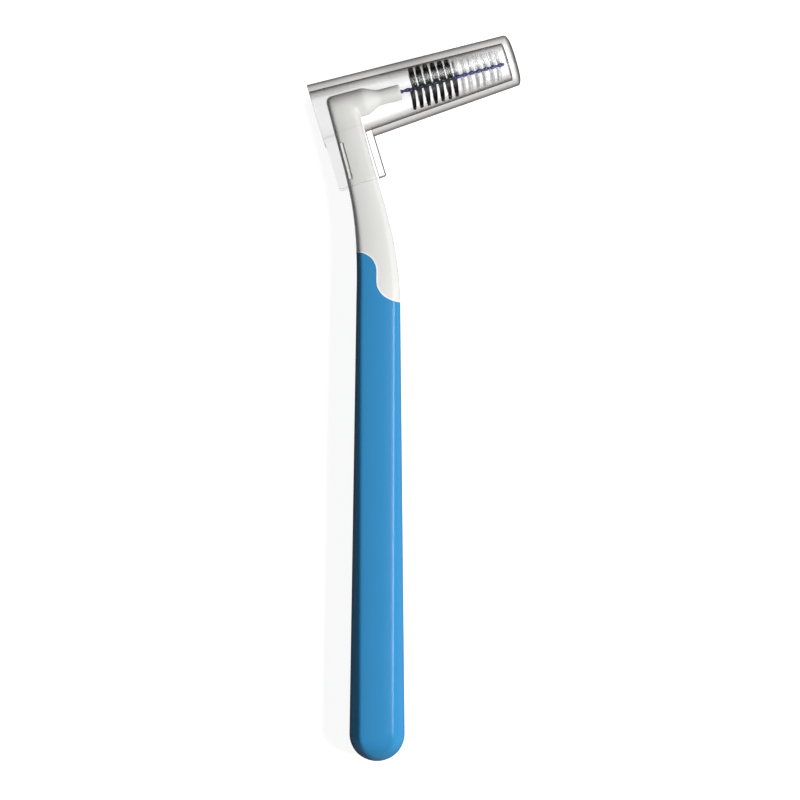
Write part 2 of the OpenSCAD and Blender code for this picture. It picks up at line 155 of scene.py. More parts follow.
class BrushSizes(bpy.types.PropertyGroup):
    """Sizes of the twisted wire and its filaments."""

    wire_d: length("Wire", "Diameter of the wire before it is folded", 0.0004)
    leg_gap: length("Leg gap", "Play between the wire's two legs", 0.00004)
    wire_pitch: length("Twist", "Length of one full twist of the wire", 0.00296)
    wire_hold_l: length("Held wire", "Length of wire inside the arm", 0.006)
    wire_tip_l: length("Wire tip", "Bare wire past the last filaments", 0.00055)
    bare_l: length("Bare wire", "Wire between the arm and the first filaments", 0.00205)
    black_l: length("Black stretch", "Length of the black filaments' stretch", 0.0096)
    clear_l: length("Clear stretch", "Length of the clear filaments' stretch", 0.0093)
    base_d: length("Base diameter", "Diameter of the brush beside the arm", 0.0083)
    tip_d: length("Tip diameter", "Diameter of the brush at its tip", 0.006)
    row_pitch: length("Row pitch", "Distance between one row and the next", 0.00148)
    filament_d: length("Filament", "Diameter of one filament", 0.00014)
    black_turn: number("Black filaments", "Black filaments in each turn of the row", 220)
    clear_turn: number("Clear filaments", "Clear filaments in each turn of the row", 46)


class CapSizes(bpy.types.PropertyGroup):
    """Sizes of the travel cap."""

    wall: length("Wall", "Thickness of the wall above and below the brush", 0.0014)
    side_wall: length("Side wall", "Thickness of the wall before and behind the brush", 0.001)
    room: length("Room", "Room over the brush", 0.00064)
    side_room: length("Side room", "Room in front of and behind the brush", 0.00025)
    taper: turn("Taper", "Slope of the cap's top and bottom", 2.65)
    side_taper: turn("Side taper", "Slope of the cap's sides", 0.5)
    tilt: turn("Tilt", "Angle of the cap's axis to the arm", 1.8)
    drop: length("Drop", "Distance of the cap's axis below the bend", 0.00075)
    overhang: length("Overhang", "Length of the cap beyond the neck", 0.00265)
    end_room: length("End room", "Room between the wire's tip and the closed end", 0.0008)
    end_wall: length("End wall", "Thickness of the closed end", 0.0006)
    dome_h: length("Dome", "Height of the dome on the closed end", 0.001)
    skirt_clear: length("Skirt clearance", "Clearance between the skirt and the neck", 0.0002)
    skirt_t: length("Skirt plates", "Thickness of the skirt's plates", 0.00095)
    skirt_drop: length("Skirt depth", "Depth of the skirt below the cap's axis", 0.015)
    skirt_inset: length("Skirt inset", "Distance of the skirt's edge from the mouth", 0.00025)
    skirt_corner_r: length("Skirt corners", "Radius of the skirt's corners", 0.0005)
    edge_r: length("Edges", "Radius that rounds the tube's edges", 0.00012)
    skirt_edge_r: length("Skirt edges", "Radius that rounds the skirt's edges", 0.00002)
    draft: length("Draft", "How far the skirt's wall draws in from its middle to its faces", 0.0002)
    bore_dome_h: length("Bore's end", "Height of the shallow dome that ends the bore", 0.00025)


class BrushColours(bpy.types.PropertyGroup):
    """Colours of the pieces."""

    core: colour("Core", "White moulding", "#E3E3E0")
    # The lip's colour is lighter than the core's: a painted highlight along the skin's edge
    highlit_lip: colour("Lip", "Edge of the white moulding against the grip", "#F8FAFA")
    grip: colour("Grip", "Blue soft grip", "#3A90C8")
    wire: colour("Wire", "Coating of the wire", "#081270")
    black: colour("Black", "Black filaments", "#070708")
    clear: colour("Clear", "Clear filaments", "#F8F8FB")
    # The cap's colour only warms the painted grey of its walls where they turn from the eye
    cap: colour("Cap", "Tone of the cap where it is seen at a slant", "#F6F2EE")


# Meshes

def new_object(name, mesh):
    """Puts a mesh into the scene as an object at the frame's origin."""
    piece = bpy.data.objects.new(name, mesh)
    bpy.context.scene.collection.objects.link(piece)
    return piece


def skin(name, rings):
    """Object with a skin over rings of like count, shut by a fan at each end."""
    rings = np.asarray(rings, float)
    rows, count = rings.shape[:2]
    j = np.arange(count)
    k = (j + 1) % count
    end = (rows - 1) * count
    faces = []
    for a in range(0, end, count):
        b = a + count
        faces += np.stack([a + j, a + k, b + k, b + j], 1).tolist()
    points = np.vstack([rings.reshape(-1, 3), rings[0].mean(0), rings[-1].mean(0)])
    middle = end + count
    faces += np.stack([np.full(count, middle), k, j], 1).tolist()
    faces += np.stack([np.full(count, middle + 1), end + j, end + k], 1).tolist()
    mesh = bpy.data.meshes.new(name)
    mesh.from_pydata(points.tolist(), [], faces)
    bm = bmesh.new()
    bm.from_mesh(mesh)
    bmesh.ops.recalc_face_normals(bm, faces=bm.faces)
    bm.to_mesh(mesh)
    bm.free()
    return new_object(name, mesh)


def apply_modifiers(piece):
    """Makes the result of a piece's modifiers its mesh."""
    graph = bpy.context.evaluated_depsgraph_get()
    made = bpy.data.meshes.new_from_object(piece.evaluated_get(graph))
    old = piece.data
    piece.modifiers.clear()
    piece.data = made
    bpy.data.meshes.remove(old)
    made.name = piece.name


# How far tools and pieces that are joined run past each other
OVERRUN = 1 * MM


def combine(piece, tool, operation):
    """Cuts, joins or crosses a piece with a closed tool, and removes the tool."""
    change = piece.modifiers.new("combine", "BOOLEAN")
    change.operation = operation
    change.solver = "MANIFOLD"
    change.object = tool
    apply_modifiers(piece)
    bpy.data.objects.remove(tool)
    if not piece.data.polygons:
        raise RuntimeError(f"{piece.name} has nothing left after {operation}")
    return piece


def shade(piece, degrees):
    """Shades a piece smooth, with edges sharper than the angle left crisp."""
    piece.data.polygons.foreach_set("use_smooth", [True] * len(piece.data.polygons))
    piece.data.set_sharp_from_angle(angle=math.radians(degrees))


def finish_piece(piece, material, body, slot, *nodes):
    """Gives a piece its material and its body, and hides the nodes it stands for; slot is not used."""
    piece.data.materials.clear()
    piece.data.materials.append(material)
    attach(piece, body)
    if nodes:
        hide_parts(*nodes)


# Steps of a prism's rounded rim
RIM_STEPS = 3


def extrude(name, outline, low, high, edge_r=0.0, draft=0.0):
    """Prism over an outline of (x, y) points, with rounded rims drawn in by a draft."""
    outline = np.asarray(outline, float)
    ahead = np.roll(outline, -1, 0) - outline
    back = outline - np.roll(outline, 1, 0)
    normal_a = np.stack([ahead[:, 1], -ahead[:, 0]], 1) / np.linalg.norm(ahead, axis=1)[:, None]
    normal_b = np.stack([back[:, 1], -back[:, 0]], 1) / np.linalg.norm(back, axis=1)[:, None]
    area = np.sum(outline[:, 0] * np.roll(outline[:, 1], -1) - np.roll(outline[:, 0], -1) * outline[:, 1])
    way = (normal_a + normal_b) / (1 + np.sum(normal_a * normal_b, 1))[:, None] * np.sign(area)
    levels = []
    for t in np.radians(np.linspace(0, 90, RIM_STEPS + 1)) if edge_r else [math.pi / 2]:
        levels.append((draft + edge_r * (1 - math.sin(t)), edge_r * (1 - math.cos(t))))
    rings = [np.column_stack([outline - way * i, np.full(len(outline), low + d)])
             for i, d in levels]
    if draft:
        rings.append(np.column_stack([outline, np.full(len(outline), (low + high) / 2)]))
    rings += [np.column_stack([outline - way * i, np.full(len(outline), high - d)])
              for i, d in reversed(levels)]
    return skin(name, rings)


def arc(x, y, r, start, end, steps=12, rise=None):
    """Points of an arc about (x, y), from one angle in degrees to another; an oval with a rise."""
    return [(x + r * math.cos(t), y + (rise or r) * math.sin(t))
            for t in np.radians(np.linspace(start, end, steps + 1))]


def ease(t):
    """Smooth step from 0 to 1."""
    t = np.clip(t, 0, 1)
    return t * t * (3 - 2 * t)


# Places

def head_bend(handle, brush):
    """Place of the head's bend, worked out from the middle of the filaments."""
    middle = handle.arm_l + brush.bare_l + (brush.black_l + brush.clear_l) / 2
    return BRUSH_MIDDLE - ARM_WAY * middle


def handle_frame(handle):
    """Matrix from the handle's own frame, whose +Y is the grip's axis, to the object's frame."""
    bend = head_bend(handle, bpy.context.scene.brush_sizes)
    return Matrix.Translation(bend - Vector((-handle.head_offset, handle.head_h, 0)))


def arm_frame(handle):
    """Matrix from the arm's frame, with +X out along the brush, to the object's frame."""
    bend = head_bend(handle, bpy.context.scene.brush_sizes)
    return Matrix.Translation(bend) @ Matrix.Rotation(handle.arm_tilt, 4, "Z")


def cap_frame(handle, cap):
    """Matrix from the cap's frame, with +X along the cap's axis, to the object's frame."""
    return (arm_frame(handle) @ Matrix.Translation((0, -cap.drop, 0))
            @ Matrix.Rotation(cap.tilt, 4, "Z"))


def place(piece, matrix):
    """Moves a piece's mesh, so that the object itself stays at the origin."""
    piece.data.transform(matrix)
    return piece


# Handle

def lines_of(handle):
    """Lengths along the handle at which its bend starts and ends, and the head's own."""
    reach = handle.head_offset + handle.grip_lean
    leg = handle.bend_r * math.tan(handle.arm_tilt / 2)
    start = handle.head_h - reach / math.tan(handle.arm_tilt) - leg
    end = start + handle.bend_r * handle.arm_tilt
    return start, end, end + reach / math.sin(handle.arm_tilt) - leg


def spine(handle, s):
    """Place and slope of the handle's middle line at a length along it."""
    start, end, head = lines_of(handle)
    if s < start:
        return handle.grip_lean * s / start, s, 0
    if s < end:
        t = (s - start) / handle.bend_r
        return (handle.grip_lean - handle.bend_r * (1 - math.cos(t)),
                start + handle.bend_r * math.sin(t), t)
    d = head - s
    return (-handle.head_offset + d * math.sin(handle.arm_tilt),
            handle.head_h - d * math.cos(handle.arm_tilt), handle.arm_tilt)


# Greatest radius between two faces as a share of the slanting face's width, steps of each arc
# of a section, and how much of the faces is left at the tip of the round end
ROUND_SHARE = 0.8
SECTION_STEPS = 6
TIP_FACES_SHARE = 0.15


def section_arcs(handle, half_w, half_d, slant_share):
    """Arcs of a quarter of a section, from its side to its front: radius, start and end."""
    bulge, slant_bulge = handle.face_bulge, handle.slant_bulge
    front = half_w * (1 - slant_share)
    lean = math.tan(bulge / 2)
    side = front + (half_d - half_w) / (1 - lean)
    r = min(handle.face_round_r, ROUND_SHARE * half_w * slant_share)
    slant_chord = math.sqrt(2) * math.sin(slant_bulge)
    round_w = r * (math.cos(bulge) - math.sin(bulge) - slant_chord)
    slant = half_w - front - round_w - side * lean
    eighth = math.pi / 4
    return [
        (side / math.sin(bulge), 0, bulge),
        (r, bulge, eighth - slant_bulge),
        (slant / slant_chord, eighth - slant_bulge, eighth + slant_bulge),
        (r, eighth + slant_bulge, 2 * eighth - bulge),
        (front / math.sin(bulge), 2 * eighth - bulge, 2 * eighth),
    ]


def section(handle, half_w, half_d, slant_share, faces_share):
    """Ring of (x, z): bulging faces with rounded edges, blended with an oval of like slopes."""
    faced = np.array([half_w, 0.0])
    quarter = [faced]
    for r, start, end in section_arcs(handle, half_w, half_d, slant_share):
        origin = faced - r * np.array([math.cos(start), math.sin(start)])
        for t in np.linspace(start, end, SECTION_STEPS + 1)[1:]:
            way = np.array([math.cos(t), math.sin(t)])
            faced = origin + r * way
            oval = np.array([half_w ** 2, half_d ** 2]) * way
            oval /= math.hypot(half_w * way[0], half_d * way[1])
            quarter.append(faces_share * faced + (1 - faces_share) * oval)
    quarter = np.array(quarter)
    back = quarter[:0:-1]
    return np.vstack([quarter[:-1], back * (-1, 1), -quarter[:-1], back * (1, -1)])


def along(handle, s, at_end, at_top, at_neck):
    """A size along the handle, from the grip's end past its top to the neck."""
    if s < handle.grip_l:
        return at_end + (at_top - at_end) * s / handle.grip_l
    neck_from = lines_of(handle)[2] - handle.neck_straight_l
    return at_top + (at_neck - at_top) * ease((s - handle.grip_l) / (neck_from - handle.grip_l))


def handle_ring(handle, s, inset, shares=(1.0, 1.0), faces_share=1.0):
    """One section across the handle, drawn in and then narrowed and flattened to shares."""
    x, y, slope = spine(handle, s)
    half_w = along(handle, s, handle.end_w, handle.top_w, handle.neck_w) / 2
    half_d = along(handle, s, handle.end_d, handle.top_d, handle.neck_d) / 2
    slant = along(handle, s, handle.end_slant_w, handle.top_slant_w, handle.neck_slant_w)
    ring = section(handle, half_w - inset, half_d - inset, slant / half_w, faces_share) * shares
    return np.column_stack([x + ring[:, 0] * math.cos(slope),
                            y + ring[:, 0] * math.sin(slope), ring[:, 1]])


def head_shares(handle, t):
    """Shares of a ring's width and depth on the head, which is round about the arm's axis."""
    turned = max(0.0, 1 - (1 - math.sin(t)) * handle.arm_root_r / handle.head_round_r)
    corner = 1 - math.sqrt(1 - turned * turned)
    return 1 - corner * handle.head_round_r / (handle.neck_w / 2), math.cos(t)


# Rings of the handle's round end, its taper, its bend, its neck and its head, and the angles at
# which the round end starts and the head stops, short of closing to a point
END_RINGS = 24
TAPER_RINGS = 40
BEND_RINGS = 40
NECK_RINGS = 16
HEAD_RINGS = 20
END_FROM = 3
HEAD_TO = 86


def handle_body(name, handle, inset):
    """The whole handle, drawn in from its surface by an inset."""
    head = lines_of(handle)[2]
    neck_from = head - handle.neck_straight_l
    end_r = handle.end_w / 2 - inset
    rings = []
    for t in np.radians(np.linspace(END_FROM, 90, END_RINGS)):
        faces = TIP_FACES_SHARE + (1 - TIP_FACES_SHARE) * ease(2 * math.sin(t) - 1)
        rings.append(handle_ring(handle, inset + end_r * (1 - math.cos(t)), inset,
                                 (math.sin(t), math.sin(t)), faces))
    lengths = [np.linspace(end_r + inset, handle.grip_l, TAPER_RINGS)[1:],
               np.linspace(handle.grip_l, neck_from, BEND_RINGS)[1:],
               np.linspace(neck_from, head, NECK_RINGS)[1:-1]]
    rings += [handle_ring(handle, s, inset) for s in np.concatenate(lengths)]
    rings += [handle_ring(handle, head + (handle.arm_root_r - inset) * math.sin(t), inset,
                          head_shares(handle, t))
              for t in np.radians(np.linspace(0, HEAD_TO, HEAD_RINGS))]
    return place(skin(name, rings), handle_frame(handle))


# Steps of each curve of the skin's edge
EDGE_STEPS = 24


def below_edge(name, handle, rise):
    """Everything below the S-shaped edge of the skin, which rise moves outwards."""
    far = handle.head_offset + handle.end_w
    flank = -handle.edge_left
    low = handle.grip_l + handle.edge_low_rise
    high = low + handle.edge_step
    up_r = handle.edge_high_r
    down_w = handle.edge_low_w
    down_h = handle.edge_low_h
    outline = [(-far, -far), (far, -far), (far, low + rise)]
    outline += arc(flank + down_w, low + down_h, down_w - rise, 270, 180, EDGE_STEPS,
                   down_h - rise)
    outline += arc(flank - up_r, high - up_r, up_r + rise, 0, 90, EDGE_STEPS)
    outline.append((-far, high + rise))
    return place(extrude(name, outline, -far, far), handle_frame(handle))


# Radius that rounds the arm's tip, radius of the small ring from which its root face spreads, its
# sides, and the rings of its taper and of its rounded tip
ARM_TIP_ROUND = 0.25 * MM
ARM_FACE_R = 0.2 * MM
ARM_SIDES = 64
ARM_TAPER_RINGS = 24
ARM_TIP_RINGS = 6


def arm_body(name, handle):
    """The short arm that holds the wire, turned about its axis."""
    profile = [(ARM_FACE_R, 0), (handle.arm_root_r, 0)]
    profile += [(handle.arm_root_r + (handle.arm_tip_r - handle.arm_root_r) * ease(t),
                 handle.arm_root_l + handle.arm_narrow_l * t)
                for t in np.linspace(0, 1, ARM_TAPER_RINGS)]
    profile += [(handle.arm_tip_r - ARM_TIP_ROUND * (1 - math.cos(t)),
                 handle.arm_l - ARM_TIP_ROUND * (1 - math.sin(t)))
                for t in np.radians(np.linspace(0, 90, ARM_TIP_RINGS))]
    angles = np.radians(np.arange(0, 360, 360 / ARM_SIDES))
    rings = [np.column_stack([np.full(ARM_SIDES, u), r * np.cos(angles), r * np.sin(angles)])
             for r, u in profile]
    return place(skin(name, rings), arm_frame(handle))


# Materials

def add_node(tree, kind, inputs=None, **settings):
    """Adds a shader node of a kind with its settings. inputs gives sockets values or outputs."""
    node = tree.nodes.new("ShaderNode" + kind)
    for name, value in settings.items():
        setattr(node, name, value)
    for name, value in (inputs or {}).items():
        if isinstance(value, bpy.types.NodeSocket):
            tree.links.new(value, node.inputs[name])
        else:
            node.inputs[name].default_value = value
    return node


def new_material(name):
    """Empty material: its tree and its output node."""
    material = bpy.data.materials.new(name)
    material.use_nodes = True
    tree = material.node_tree
    tree.nodes.clear()
    return material, tree, add_node(tree, "OutputMaterial")


def spread(tree, size, detail=3.0):
    """Noise whose patches are about size metres across, fixed to the piece."""
    place_on = add_node(tree, "TexCoord")
    noise = add_node(tree, "TexNoise",
                     {"Vector": place_on.outputs["Object"], "Scale": 1 / size, "Detail": detail})
    return noise.outputs["Fac"]


def drifting(tree, size, low, high):
    """Number that drifts from low to high in patches about size metres across."""
    patches = add_node(tree, "MapRange", {
        "Value": spread(tree, size), "From Min": 0.2, "From Max": 0.8, "To Min": low,
        "To Max": high})
    return patches.outputs["Result"]


def tinted(tree, size, colour_value, low, high):
    """Colour whose lightness drifts from low to high times its own, in patches of a size."""
    dark, light = ([min(1.0, c * share) for c in colour_value] + [1] for share in (low, high))
    patches = add_node(tree, "Mix", {0: spread(tree, size), 6: dark, 7: light},
                       data_type="RGBA")
    return patches.outputs[2]


def fine_bump(tree, size, height, strength):
    """Normal of a fine moulded texture, size metres across and height metres deep."""
    bump = add_node(tree, "Bump", {"Height": spread(tree, size, 2.0),
                                             "Distance": height, "Strength": strength})
    return bump.outputs["Normal"]


def ray_share(tree, *kinds):
    """1 for rays of the named kinds and 0 for all others."""
    path = add_node(tree, "LightPath")
    share = path.outputs[kinds[0]]
    for kind in kinds[1:]:
        share = add_node(tree, "Math", {0: share, 1: path.outputs[kind]},
                         operation="MAXIMUM").outputs[0]
    return share


def end_clear(tree, output, seen, share):
    """Ends a clear material: what is seen of it, and the share of the lamps' light it lets by."""
    lit = add_node(tree, "BsdfTransparent", {"Color": (share, share, share, 1)})
    surface = add_node(tree, "MixShader", {
        0: ray_share(tree, "Is Shadow Ray"), 1: seen.outputs[0], 2: lit.outputs[0]})
    tree.links.new(surface.outputs[0], output.inputs["Surface"])


def mirror_share(tree, face_on, grazing):
    """Share of the light that a surface mirrors, from face on to grazing."""
    facing = add_node(tree, "LayerWeight", {"Blend": 0.5}).outputs["Facing"]
    rise = add_node(tree, "Math", {0: facing, 1: 5.0}, operation="POWER")
    share = add_node(tree, "MapRange", {"Value": rise.outputs[0], "To Min": face_on,
                                                  "To Max": grazing})
    return share.outputs[0]


def moulded_polypropylene(colour_value):
    """Polypropylene, injection moulded: satin white with faint flow clouds and a fine texture."""
    material, tree, output = new_material("polypropylene_moulded")
    shader = add_node(tree, "BsdfPrincipled", {
        "Base Color": tinted(tree, 4 * MM, colour_value, 0.97, 1.03),
        "Roughness": drifting(tree, 1.5 * MM, 0.42, 0.5),
        "IOR": 1.49,
        "Specular IOR Level": 0.3,
        "Normal": fine_bump(tree, 0.25 * MM, 0.01 * MM, 0.25),
    })
    tree.links.new(shader.outputs["BSDF"], output.inputs["Surface"])
    return material


def moulded_elastomer(colour_value):
    """Thermoplastic elastomer, overmoulded: smooth blue skin with a soft sheen."""
    material, tree, output = new_material("elastomer_overmoulded")
    texture = fine_bump(tree, 0.3 * MM, 0.008 * MM, 0.2)
    skin_shader = add_node(tree, "BsdfPrincipled", {
        "Base Color": tinted(tree, 6 * MM, colour_value, 0.97, 1.03),
        "Roughness": 0.6,
        "IOR": 1.5,
        "Specular IOR Level": 0.0,
        "Normal": texture,
    })
    sheen = add_node(tree, "BsdfGlossy", {
        "Roughness": drifting(tree, 2 * MM, 0.18, 0.22), "Normal": texture})
    surface = add_node(tree, "MixShader", {
        0: mirror_share(tree, 0.018, 0.07), 1: skin_shader.outputs[0], 2: sheen.outputs[0]})
    tree.links.new(surface.outputs[0], output.inputs["Surface"])
    return material


def coated_steel(colour_value):
    """Steel wire with an extruded plastic coating: deep blue with small glossy lights."""
    material, tree, output = new_material("steel_wire_coated")
    shader = add_node(tree, "BsdfPrincipled", {
        "Base Color": tinted(tree, 0.8 * MM, colour_value, 0.8, 1.25),
        "Roughness": drifting(tree, 0.4 * MM, 0.25, 0.4),
        "IOR": 1.53,
        "Specular IOR Level": 0.3,
    })
    tree.links.new(shader.outputs["BSDF"], output.inputs["Surface"])
    return material


def drawn_black_nylon(colour_value):
    """Nylon filament, drawn and dyed black: dense black with a thin line of gloss."""
    material, tree, output = new_material("nylon_drawn_black")
    shader = add_node(tree, "BsdfPrincipled", {
        "Base Color": tinted(tree, 0.5 * MM, colour_value, 0.6, 1.5),
        "Roughness": drifting(tree, 0.3 * MM, 0.4, 0.55),
        "IOR": 1.53,
        "Specular IOR Level": 0.05,
    })
    tree.links.new(shader.outputs["BSDF"], output.inputs["Surface"])
    return material


def drawn_clear_nylon(colour_value):
    """Nylon filament, drawn and left clear: pale strands that let much of the light through."""
    material, tree, output = new_material("nylon_drawn_clear")
    colour_out = tinted(tree, 0.5 * MM, colour_value, 0.85, 1.05)
    front = add_node(tree, "BsdfPrincipled", {
        "Base Color": colour_out,
        "Roughness": drifting(tree, 0.3 * MM, 0.25, 0.4),
        "IOR": 1.53,
    })
    behind = add_node(tree, "BsdfTranslucent", {"Color": colour_out})
    strand = add_node(tree, "MixShader", {
        0: 0.35, 1: front.outputs[0], 2: behind.outputs[0]})
    clear = add_node(tree, "BsdfTransparent", {"Color": (1, 1, 1, 1)})
    seen = add_node(tree, "MixShader", {0: 0.73, 1: strand.outputs[0], 2: clear.outputs[0]})
    end_clear(tree, output, seen, 0.95)
    return material


# Share of the light that one wall of clear styrene lets through, by how far it turns from the eye, where
# 0
# is face on: the wall is painted grey as it turns, a painted shade in place of the backdrop that a
# moulded wall bends out of sight
STYRENE_PAINTED_GREY = ((0.0, 1.0), (0.17, 0.99), (0.22, 0.93), (0.28, 0.82), (0.36, 0.75), (0.46, 0.68),
                  (0.53, 0.6), (0.61, 0.49), (0.7, 0.39), (0.85, 0.22), (1.0, 0.08))


def moulded_styrene(tone):
    """Clear styrene, injection moulded: seen through face on, painted grey where it turns from the eye.
    """
    material, tree, output = new_material("styrene_moulded_clear")
    # The wall's colour greys with its turn from the eye: painted shade in place of refraction
    facing = add_node(tree, "LayerWeight", {"Blend": 0.5}).outputs["Facing"]
    painted_grey = add_node(tree, "ValToRGB", {"Fac": facing})
    stops = painted_grey.color_ramp.elements
    for k, (turned, share) in enumerate(STYRENE_PAINTED_GREY):
        stop = stops[k] if k < 2 else stops.new(turned)
        stop.position = turned
        stop.color = [share * (1 - (1 - share) * (1 - c)) for c in tone] + [1]
    through = add_node(tree, "BsdfTransparent", {"Color": painted_grey.outputs["Color"]})
    gloss = add_node(tree, "BsdfGlossy", {
        "Roughness": drifting(tree, 3 * MM, 0.2, 0.26)})
    seen = add_node(tree, "MixShader", {
        0: mirror_share(tree, 0.032, 0.055), 1: through.outputs[0], 2: gloss.outputs[0]})
    end_clear(tree, output, seen, 0.99)
    return material


# Operators

class BRUSH_OT_stage(bpy.types.Operator):
    """Adds the floor, the lamps, the world and the camera"""

    bl_idname = "brush.stage"
    bl_label = "Stage"

    def execute(self, context):
        add_camera()
        add_floor()
        add_lamps()
        return {"FINISHED"}


# The photograph's frame: its width, its middle in the handle's own frame and the camera's lens
# and sensor in millimetres. Then half the floor's width
PHOTO_W = 160 * MM
PHOTO_MIDDLE = Vector((4.6 * MM, 72.2 * MM, 0))
LENS = 200
SENSOR_W = 36
FLOOR_HALF = 1.2


def add_camera():
    """Camera straight over the object, at the photograph's framing."""
    data = bpy.data.cameras.new("camera")
    data.lens = LENS
    data.sensor_width = SENSOR_W
    data.clip_start = 0.01
    data.clip_end = 10
    camera = bpy.data.objects.new("camera", data)
    bpy.context.scene.collection.objects.link(camera)
    camera.location = (handle_frame(bpy.context.scene.brush_handle) @ PHOTO_MIDDLE
                       + Vector((0, 0, PHOTO_W * LENS / SENSOR_W)))
    bpy.context.scene.camera = camera


def add_floor():
    """Pale floor that the camera and mirrors see as white, with the object's soft shadow."""
    half = FLOOR_HALF
    mesh = bpy.data.meshes.new("floor")
    mesh.from_pydata([(-half, -half, 0), (half, -half, 0), (half, half, 0), (-half, half, 0)], [],
                     [(0, 1, 2, 3)])
    floor = new_object("floor", mesh)
    material, tree, output = new_material("paper_backdrop")
    seen = ray_share(tree, "Is Camera Ray", "Is Glossy Ray", "Is Transmission Ray")
    paper = add_node(tree, "BsdfDiffuse", {"Color": linear("#505050") + (1,)})
    shadowed = add_node(tree, "BsdfDiffuse", {"Color": linear("#B0B0B0") + (1,)})
    glow = add_node(tree, "Emission", {"Color": (1, 1, 1, 1), "Strength": 0.93})
    white = add_node(tree, "AddShader", {0: shadowed.outputs[0], 1: glow.outputs[0]})
    surface = add_node(tree, "MixShader", {
        0: seen, 1: paper.outputs[0], 2: white.outputs[0]})
    tree.links.new(surface.outputs[0], output.inputs["Surface"])
    floor.data.materials.append(material)


def add_lamp(name, place_at, aim, side, width, height, radiance, diffuse=True, glossy=True):
    """One area lamp, turned to what it lights, with its width along a given side."""
    data = bpy.data.lights.new(name, "AREA")
    data.shape = "RECTANGLE"
    data.size = width
    data.size_y = height
    data.energy = radiance * math.pi * width * height
    lamp = bpy.data.objects.new(name, data)
    bpy.context.scene.collection.objects.link(lamp)
    back = (place_at - aim).normalized()
    up = back.cross(side).normalized()
    turned = Matrix((up.cross(back), up, back)).transposed().to_4x4()
    lamp.matrix_world = Matrix.Translation(place_at) @ turned
    lamp.visible_camera = False
    lamp.visible_diffuse = diffuse
    lamp.visible_glossy = glossy
    return lamp


# Key: its distance, its width and height, its rise over the horizon, its turn from +X and its light
KEY_REACH = 0.7
KEY_W = 0.3
KEY_H = 0.22
KEY_RISE = 50
KEY_TURN = -6
KEY_LIGHT = 29.5
# Strips, the grip's along Y and the cap's along the arm: for each its distance, its ends, its
# lean from the vertical, its width and its light
GRIP_STRIP_REACH = 340 * MM
GRIP_STRIP_FROM = -92 * MM
GRIP_STRIP_TO = 70 * MM
GRIP_STRIP_LEAN = 29.5
GRIP_STRIP_W = 150 * MM
GRIP_STRIP_LIGHT = 15
CAP_STRIP_REACH = 60 * MM
CAP_STRIP_FROM = 16.5 * MM
CAP_STRIP_TO = 35 * MM
CAP_STRIP_LEAN = 29.5
CAP_STRIP_W = 18 * MM
CAP_STRIP_LIGHT = 14
# Light of the room on plain surfaces, and what gloss mirrors overhead
ROOM_LIGHT = 0.035
OVERHEAD_LIGHT = 0.1


def add_lamps():
    """A soft key from the right in a dim room, and two strips that only gloss sees."""
    add_room()
    aim = Vector((0, 0, cad_box[1].z / 2))
    rise = math.radians(KEY_RISE)
    turn_by = math.radians(KEY_TURN)
    way = Vector((math.cos(rise) * math.cos(turn_by), math.cos(rise) * math.sin(turn_by),
                  math.sin(rise)))
    add_lamp("key", aim + way * KEY_REACH, aim, Vector((0, 1, 0)), KEY_W, KEY_H, KEY_LIGHT,
             glossy=False)
    handle = bpy.context.scene.brush_handle
    lean = math.radians(GRIP_STRIP_LEAN)
    aim = Vector((handle_frame(handle).translation.x, (GRIP_STRIP_FROM + GRIP_STRIP_TO) / 2,
                  cad_box[1].z / 2))
    way = Vector((math.sin(lean), 0, math.cos(lean)))
    add_lamp("grip_strip", aim + way * GRIP_STRIP_REACH, aim, Vector((0, 1, 0)),
             GRIP_STRIP_TO - GRIP_STRIP_FROM, GRIP_STRIP_W, GRIP_STRIP_LIGHT, diffuse=False)
    turned = arm_frame(handle)
    lean = math.radians(CAP_STRIP_LEAN)
    aim = turned @ Vector(((CAP_STRIP_FROM + CAP_STRIP_TO) / 2, 0, 0))
    way = turned.to_3x3() @ Vector((0, math.sin(lean), math.cos(lean)))
    add_lamp("cap_strip", aim + way * CAP_STRIP_REACH, aim, ARM_WAY, CAP_STRIP_TO - CAP_STRIP_FROM,
             CAP_STRIP_W, CAP_STRIP_LIGHT, diffuse=False)


def add_room():
    """Dim even room, with a ceiling that only gloss sees and white behind everything."""
    world = bpy.data.worlds.new("room")
    world.use_nodes = True
    bpy.context.scene.world = world
    tree = world.node_tree
    tree.nodes.clear()
    way = add_node(tree, "TexCoord").outputs["Generated"]
    height = add_node(tree, "SeparateXYZ", {"Vector": way}).outputs["Z"]
    ceiling = add_node(tree, "MapRange", {
        "Value": height, "From Min": 0.5, "From Max": 0.9, "To Min": 0.0, "To Max": OVERHEAD_LIGHT},
        interpolation_type="SMOOTHSTEP")
    room = add_node(tree, "Background", {"Strength": ROOM_LIGHT})
    mirrored = add_node(tree, "Background", {"Strength": ceiling.outputs[0]})
    white = add_node(tree, "Background", {"Strength": 1.0})
    for node in (room, mirrored, white):
        node.inputs["Color"].default_value = (1, 1, 1, 1)
    glossy = add_node(tree, "MixShader", {
        0: ray_share(tree, "Is Glossy Ray"), 1: room.outputs[0], 2: mirrored.outputs[0]})
    surface = add_node(tree, "MixShader", {
        0: ray_share(tree, "Is Camera Ray", "Is Transmission Ray"),
        1: glossy.outputs[0], 2: white.outputs[0]})
    output = add_node(tree, "OutputWorld")
    tree.links.new(surface.outputs[0], output.inputs["Surface"])


# Voxel and rounds that ease the whole core, reach and rounds that ease its head further, the
# room round the wire in its hole, the hole's sides, and the radius that rounds the grooves' edges
CORE_VOXEL = 0.16 * MM
CORE_EASE_ROUNDS = 14
HEAD_EASE_R = 6 * MM
HEAD_EASE_ROUNDS = 30
HOLE_ROOM = 0.03 * MM
HOLE_SIDES = 24
GROOVE_EDGE_R = 0.05 * MM


